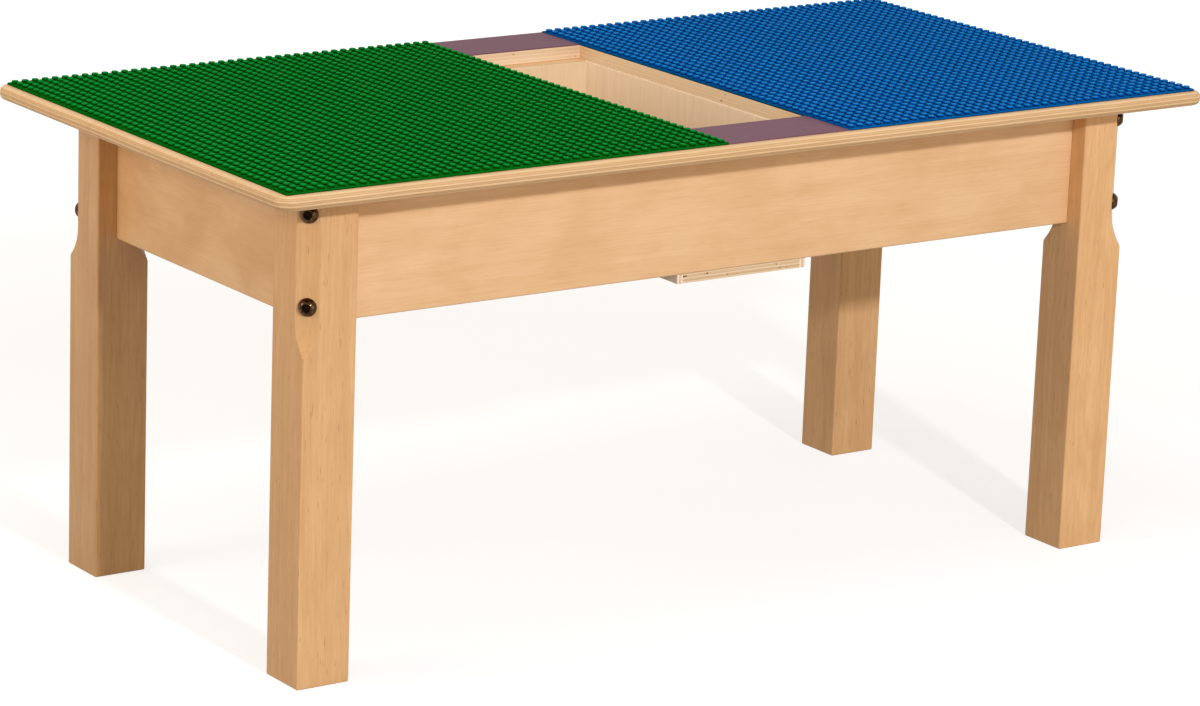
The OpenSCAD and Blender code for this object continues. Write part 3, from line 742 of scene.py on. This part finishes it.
def floor_paper(name, tint, glow):
    """Matt white paper sweep. The camera, and what mirrors or lets it through, sees some white
    besides, the more the further from the table, so that the ground is white and keeps the
    table's shadow."""
    material, add = new_material(name)
    away = add("VectorMath.LENGTH", object_place(add), out="Value")
    shader = add("BsdfPrincipled", tint, inputs={
        "Roughness": 0.9, "Specular IOR Level": 0.0, "Emission Color": WHITE,
        "Emission Strength": add("Math.MULTIPLY", direct_view(add),
                                 add("MapRange", away, 0.7, 2.4, glow, 1.0))})
    add("OutputMaterial", shader)
    return material


# Pieces

def node_box(node):
    """Lowest and highest corner of a CAD node, as arrays in metres."""
    low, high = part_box(node)
    return np.array(low), np.array(high)


def piece(name, shape, material, slot, *nodes):
    """Makes the shape an object with its material. It stands for its CAD nodes and rides on the
    table's one body."""
    mesh = make_mesh(name, *shape)
    mesh.materials.append(material)
    obj = bpy.data.objects.new(name, mesh)
    bpy.context.scene.collection.objects.link(obj)
    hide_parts(*nodes)
    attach(obj, BODY)
    return obj


def dress(material, *nodes):
    """Gives carried-over CAD nodes a material in place of their own."""
    for name in nodes:
        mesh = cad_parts[name].data
        mesh.materials.clear()
        mesh.materials.append(material)


def settings_of(context):
    """All settings of the scene's table."""
    return context.scene.play_table


class PLAYTABLE_OT_tabletop(bpy.types.Operator):
    """Makes the plywood top with its rounded edge and the bin's mouth"""
    bl_idname = "playtable.tabletop"
    bl_label = "Tabletop"

    def execute(self, context):
        settings = settings_of(context).top
        low, high = node_box("tabletop")
        left, right = node_box("green_stud_plate")[1][0], node_box("blue_stud_plate")[0][0]
        front, rear = node_box("front_laminate")[1][1], node_box("rear_laminate")[0][1]
        material = birch_ply("birch_plywood_top", settings, (low, high), 2, 0, settings.veneer,
                             settings.plies, settings.figure, settings.filled, settings.pale_cut_and_painted_light)
        shape = top_shape(settings, low, high, np.array([left, front]), np.array([right, rear]))
        piece("plywood_top", shape, material, "birch_plywood_top", "tabletop")
        return {"FINISHED"}


class PLAYTABLE_OT_stud_plates(bpy.types.Operator):
    """Makes the green and the blue plate with their studs"""
    bl_idname = "playtable.stud_plates"
    bl_label = "Stud plates"

    def execute(self, context):
        settings = settings_of(context).plates
        for name, tint, highlight_tint in (("green", settings.green, settings.green_highlight),
                                      ("blue", settings.blue, settings.blue_highlight)):
            node = name + "_stud_plate"
            low, high = node_box(node)
            material = moulded_abs(name + "_abs", settings, tint, highlight_tint, low, high)
            shape = stud_plate_shape(settings, low, high)
            piece(name + "_plate_with_studs", shape, material, name + "_abs", node)
        return {"FINISHED"}


class PLAYTABLE_OT_laminates(bpy.types.Operator):
    """Makes the plain purple laminate at both ends of the bin's strip"""
    bl_idname = "playtable.laminates"
    bl_label = "Laminates"

    def execute(self, context):
        settings = settings_of(context).plates
        material = laminate_sheet("purple_laminate", settings.purple)
        for node in ("front_laminate", "rear_laminate"):
            shape = rounded_block(*node_box(node), [settings.laminate_ease] * 3)
            piece(node + "_sheet", shape, material, "purple_laminate", node)
        return {"FINISHED"}


class PLAYTABLE_OT_legs(bpy.types.Operator):
    """Makes the four legs with their flats and run-outs"""
    bl_idname = "playtable.legs"
    bl_label = "Legs"

    def execute(self, context):
        settings = settings_of(context).timber
        for i, (corner, right, rear) in enumerate(CORNERS):
            # A leg's tone scales both grain colours: partly the wood's own tone, partly painted light.
            node, tone = corner + "_leg", LEG_TONES_AND_PAINTED_LIGHT[i]
            low, high = node_box(node)
            heart = np.add(((low[0] + high[0]) / 2, low[1], 0), HEART)
            material = maple(f"lacquered_maple_leg_{i + 1}", 2, scaled(settings.leg_light, tone),
                             scaled(settings.leg_dark, tone), [i * step for step in LEG_STEP],
                             lines=0.34, fleck=0.45, cloud=0.35, heart=heart, arches=LEG_ARCHES[i])
            shape = leg_shape(settings, low, high, right, rear)
            piece(corner + "_turned_leg", shape, material, "maple", node)
        return {"FINISHED"}


class PLAYTABLE_OT_aprons(bpy.types.Operator):
    """Makes the four aprons between the legs"""
    bl_idname = "playtable.aprons"
    bl_label = "Aprons"

    def execute(self, context):
        settings = settings_of(context).timber
        for i, (node, along) in enumerate(APRONS):
            material = maple(f"lacquered_maple_apron_{i + 1}", along, settings.apron_light,
                             settings.apron_dark, [i * step for step in APRON_STEP],
                             lines=0.14, fleck=0.1, cloud=APRON_CLOUDS[i], knot=0.5)
            radii = [settings.apron_ease] * 3
            radii[along] = settings.joint_ease
            piece(node + "_board", rounded_block(*node_box(node), radii), material, "maple", node)
        return {"FINISHED"}


class PLAYTABLE_OT_bin(bpy.types.Operator):
    """Makes the bin's plywood walls and floor"""
    bl_idname = "playtable.bin"
    bl_label = "Bin"

    def execute(self, context):
        settings, plywood = settings_of(context).bin, settings_of(context).top
        ledge = node_box("bin_floor")[1][2]
        neck = -node_box("front_apron")[1][1] - settings.apron_gap
        for node, across, along, veneer, plies in (
                ("bin_left_wall", 0, 2, settings.long_wall_painted_light_veneer, settings.wall_plies),
                ("bin_right_wall", 0, 2, settings.long_wall_painted_light_veneer, settings.wall_plies),
                ("bin_front_wall", 1, 2, settings.veneer, settings.wall_plies),
                ("bin_rear_wall", 1, 2, settings.veneer, settings.wall_plies),
                ("bin_floor", 2, 0, settings.veneer, settings.floor_plies)):
            low, high = node_box(node)
            if across == 0:
                outline = [(low[1], low[2]), (high[1], low[2]), (high[1], ledge), (neck, ledge),
                           (neck, high[2]), (-neck, high[2]), (-neck, ledge), (low[1], ledge)]
                shape = slab(outline, (low[0], high[0]), settings.ease, (1, 2, 0))
            else:
                shape = rounded_block(low, high, [settings.ease] * 3)
            material = birch_ply("birch_" + node, plywood, (low, high), across, along, veneer, plies,
                                 settings.figure)
            piece(node + "_board", shape, material, "birch_bin_ply", node)
        return {"FINISHED"}


class PLAYTABLE_OT_leg_bolts(bpy.types.Operator):
    """Makes the eight leg bolts with their domed heads and hexagon sockets"""
    bl_idname = "playtable.leg_bolts"
    bl_label = "Leg bolts"

    def execute(self, context):
        settings = settings_of(context).bolts
        flat_width = settings_of(context).timber.flat_width
        bolts_low, bolts_high = node_box("leg_bolts")
        up, radius = Vector((0, 0, 1)), settings.head_diameter / 2
        shapes, marks = [], []
        for corner, right, rear in CORNERS:
            low, high = node_box(corner + "_leg")
            outward = Vector((right, rear, 0)).normalized()
            turn = Matrix((up.cross(outward), up, outward)).transposed().to_4x4()
            seat = (high[0] - low[0] - flat_width) / ROOT_2
            shape, sunk = bolt_shape(settings, 2 * seat + BLOCK_REACH + NUT_REACH)
            for z in (bolts_low[2] + radius, bolts_high[2] - radius):
                centre = Vector((*((low + high)[:2] / 2), z)) + outward * seat
                shapes.append(placed(shape, Matrix.Translation(centre) @ turn))
                marks.append(sunk)
        material = metal("dark_bronze_steel", settings.bronze, linear("#6b4c2c"), (0.1, 0.2))
        obj = piece("leg_bolts_with_sockets", joined(shapes), material, "dark_bronze_steel", "leg_bolts")
        attribute = obj.data.attributes.new("sunk", "FLOAT", "POINT")
        attribute.data.foreach_set("value", np.concatenate(marks))
        return {"FINISHED"}


class PLAYTABLE_OT_blocks(bpy.types.Operator):
    """Gives the corner blocks and cleats their unfinished wood"""
    bl_idname = "playtable.blocks"
    bl_label = "Blocks and cleats"

    def execute(self, context):
        settings = settings_of(context).timber
        for name, along, nodes in (
                ("birch_blocks", 2, [corner[0] + "_corner_block" for corner in CORNERS]),
                ("birch_long_cleats", 0, [corner[0] + "_cleat" for corner in CORNERS]),
                ("birch_cross_cleats", 1,
                 ["left_cleat", "right_cleat", "bin_left_cleat", "bin_right_cleat"])):
            material = maple(name, along, settings.block_light, settings.block_dark, (0.0, 0.0, 0.0),
                             lines=0.3, fleck=0.3, cloud=0.3)
            dress(material, *nodes)
        return {"FINISHED"}


class PLAYTABLE_OT_fasteners(bpy.types.Operator):
    """Gives the screws, nuts, washers and brads their zinc"""
    bl_idname = "playtable.fasteners"
    bl_label = "Fasteners"

    def execute(self, context):
        settings = settings_of(context).bolts
        material = metal("zinc_steel", settings.zinc, linear("#e2e3e4"), (0.3, 0.45))
        dress(material, "leg_washers", "leg_nuts", "corner_block_screws", "cleat_to_apron_screws",
              "cleat_to_top_screws", "bin_floor_brads")
        return {"FINISHED"}


def softbox(name, azimuth, elevation, distance, width, strength, tint):
    """Square lamp that faces the table. Azimuth is from the front towards the right. A lamp's
    power is pi squared times the distance squared times the share of full light that it gives a
    white surface facing it."""
    target = Vector((0.0, 0.0, 0.2))
    lamp = bpy.data.lights.new(name, "AREA")
    lamp.shape = "SQUARE"
    lamp.size = width
    lamp.energy = strength * math.pi ** 2 * distance ** 2
    lamp.color = tint[:3]
    obj = bpy.data.objects.new(name, lamp)
    bpy.context.scene.collection.objects.link(obj)
    az, el = math.radians(azimuth), math.radians(elevation)
    away = Vector((math.sin(az) * math.cos(el), -math.cos(az) * math.cos(el), math.sin(el)))
    obj.location = target + away * distance
    obj.rotation_euler = away.to_track_quat("Z", "Y").to_euler()


class PLAYTABLE_OT_stage(bpy.types.Operator):
    """Makes the floor, the light and the camera"""
    bl_idname = "playtable.stage"
    bl_label = "Stage"

    def execute(self, context):
        settings = settings_of(context).stage
        scene = context.scene
        reach = 12.0
        corners = [(-reach, -reach, 0), (reach, -reach, 0), (reach, reach, 0), (-reach, reach, 0)]
        mesh = bpy.data.meshes.new("floor")
        mesh.from_pydata(corners, [], [(0, 1, 2, 3)])
        mesh.materials.append(floor_paper("paper_sweep", settings.floor, settings.glow))
        floor = bpy.data.objects.new("floor", mesh)
        scene.collection.objects.link(floor)

        # White to the camera, and a warm, weaker light to the table
        world = bpy.data.worlds.new("studio")
        scene.world = world
        world.use_nodes = True
        world.node_tree.nodes.clear()
        add = partial(add_node, world.node_tree)
        direct = direct_view(add)
        tint = add("Mix", direct, inputs={MIX_A: settings.warmth, MIX_B: WHITE}, **MIX_COLOURS)
        strength = add("MapRange", direct, 0.0, 1.0, settings.sky, 1.0)
        add("OutputWorld", add("Background", tint, strength))

        softbox("key_lamp", azimuth=-7.6, elevation=25.0, distance=3.0, width=0.12,
                strength=settings.key, tint=(0.96, 1.0, 1.12))
        softbox("fill_lamp", azimuth=-98.0, elevation=20.0, distance=1.35, width=0.5,
                strength=settings.fill, tint=settings.warmth)
        softbox("front_lamp", azimuth=12.0, elevation=8.0, distance=3.5, width=1.6,
                strength=settings.front, tint=settings.warmth)
        softbox("top_lamp", azimuth=-60.0, elevation=72.0, distance=3.0, width=1.0,
                strength=settings.top, tint=WHITE)

        camera = bpy.data.cameras.new("camera")
        camera.sensor_width = CAMERA_SENSOR
        camera.sensor_fit = "HORIZONTAL"
        camera.lens = CAMERA_LENS
        camera.clip_end = 100.0
        obj = bpy.data.objects.new("camera", camera)
        scene.collection.objects.link(obj)
        az, down, roll = (math.radians(angle) for angle in (CAMERA_AZIMUTH, CAMERA_DOWN, CAMERA_ROLL))
        ahead = Vector((math.sin(az) * math.cos(down), math.cos(az) * math.cos(down), -math.sin(down)))
        level = Vector((math.cos(az), -math.sin(az), 0.0))
        right = level * math.cos(roll) + level.cross(ahead) * math.sin(roll)
        turn = Matrix((right, right.cross(ahead), -ahead)).transposed().to_4x4()
        obj.matrix_world = Matrix.Translation(CAMERA_PLACE) @ turn
        scene.camera = obj
        scene.view_settings.view_transform = "Standard"
        return {"FINISHED"}


class PLAYTABLE_PT_panel(bpy.types.Panel):
    """Panel that lists the table's pieces"""
    bl_label = "Play Table"
    bl_idname = "PLAYTABLE_PT_panel"
    bl_space_type = "VIEW_3D"
    bl_region_type = "UI"
    bl_category = "Play Table"

    def draw(self, context):
        for operator in OPERATORS:
            self.layout.operator(operator.bl_idname)


OPERATORS = (
    PLAYTABLE_OT_tabletop,
    PLAYTABLE_OT_stud_plates,
    PLAYTABLE_OT_laminates,
    PLAYTABLE_OT_legs,
    PLAYTABLE_OT_aprons,
    PLAYTABLE_OT_bin,
    PLAYTABLE_OT_leg_bolts,
    PLAYTABLE_OT_blocks,
    PLAYTABLE_OT_fasteners,
    PLAYTABLE_OT_stage,
)
CLASSES = (PlateSettings, TopSettings, TimberSettings, BinSettings, BoltSettings, StageSettings,
           TableSettings, *OPERATORS, PLAYTABLE_PT_panel)


def register():
    for cls in CLASSES:
        bpy.utils.register_class(cls)
    bpy.types.Scene.play_table = PointerProperty(type=TableSettings)


def unregister():
    del bpy.types.Scene.play_table
    for cls in reversed(CLASSES):
        bpy.utils.unregister_class(cls)


def main():
    """Registers the classes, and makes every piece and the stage."""
    register()
    for operator in OPERATORS:
        group, name = operator.bl_idname.split(".")
        getattr(getattr(bpy.ops, group), name)()


if __name__ == "__main__":
    main()
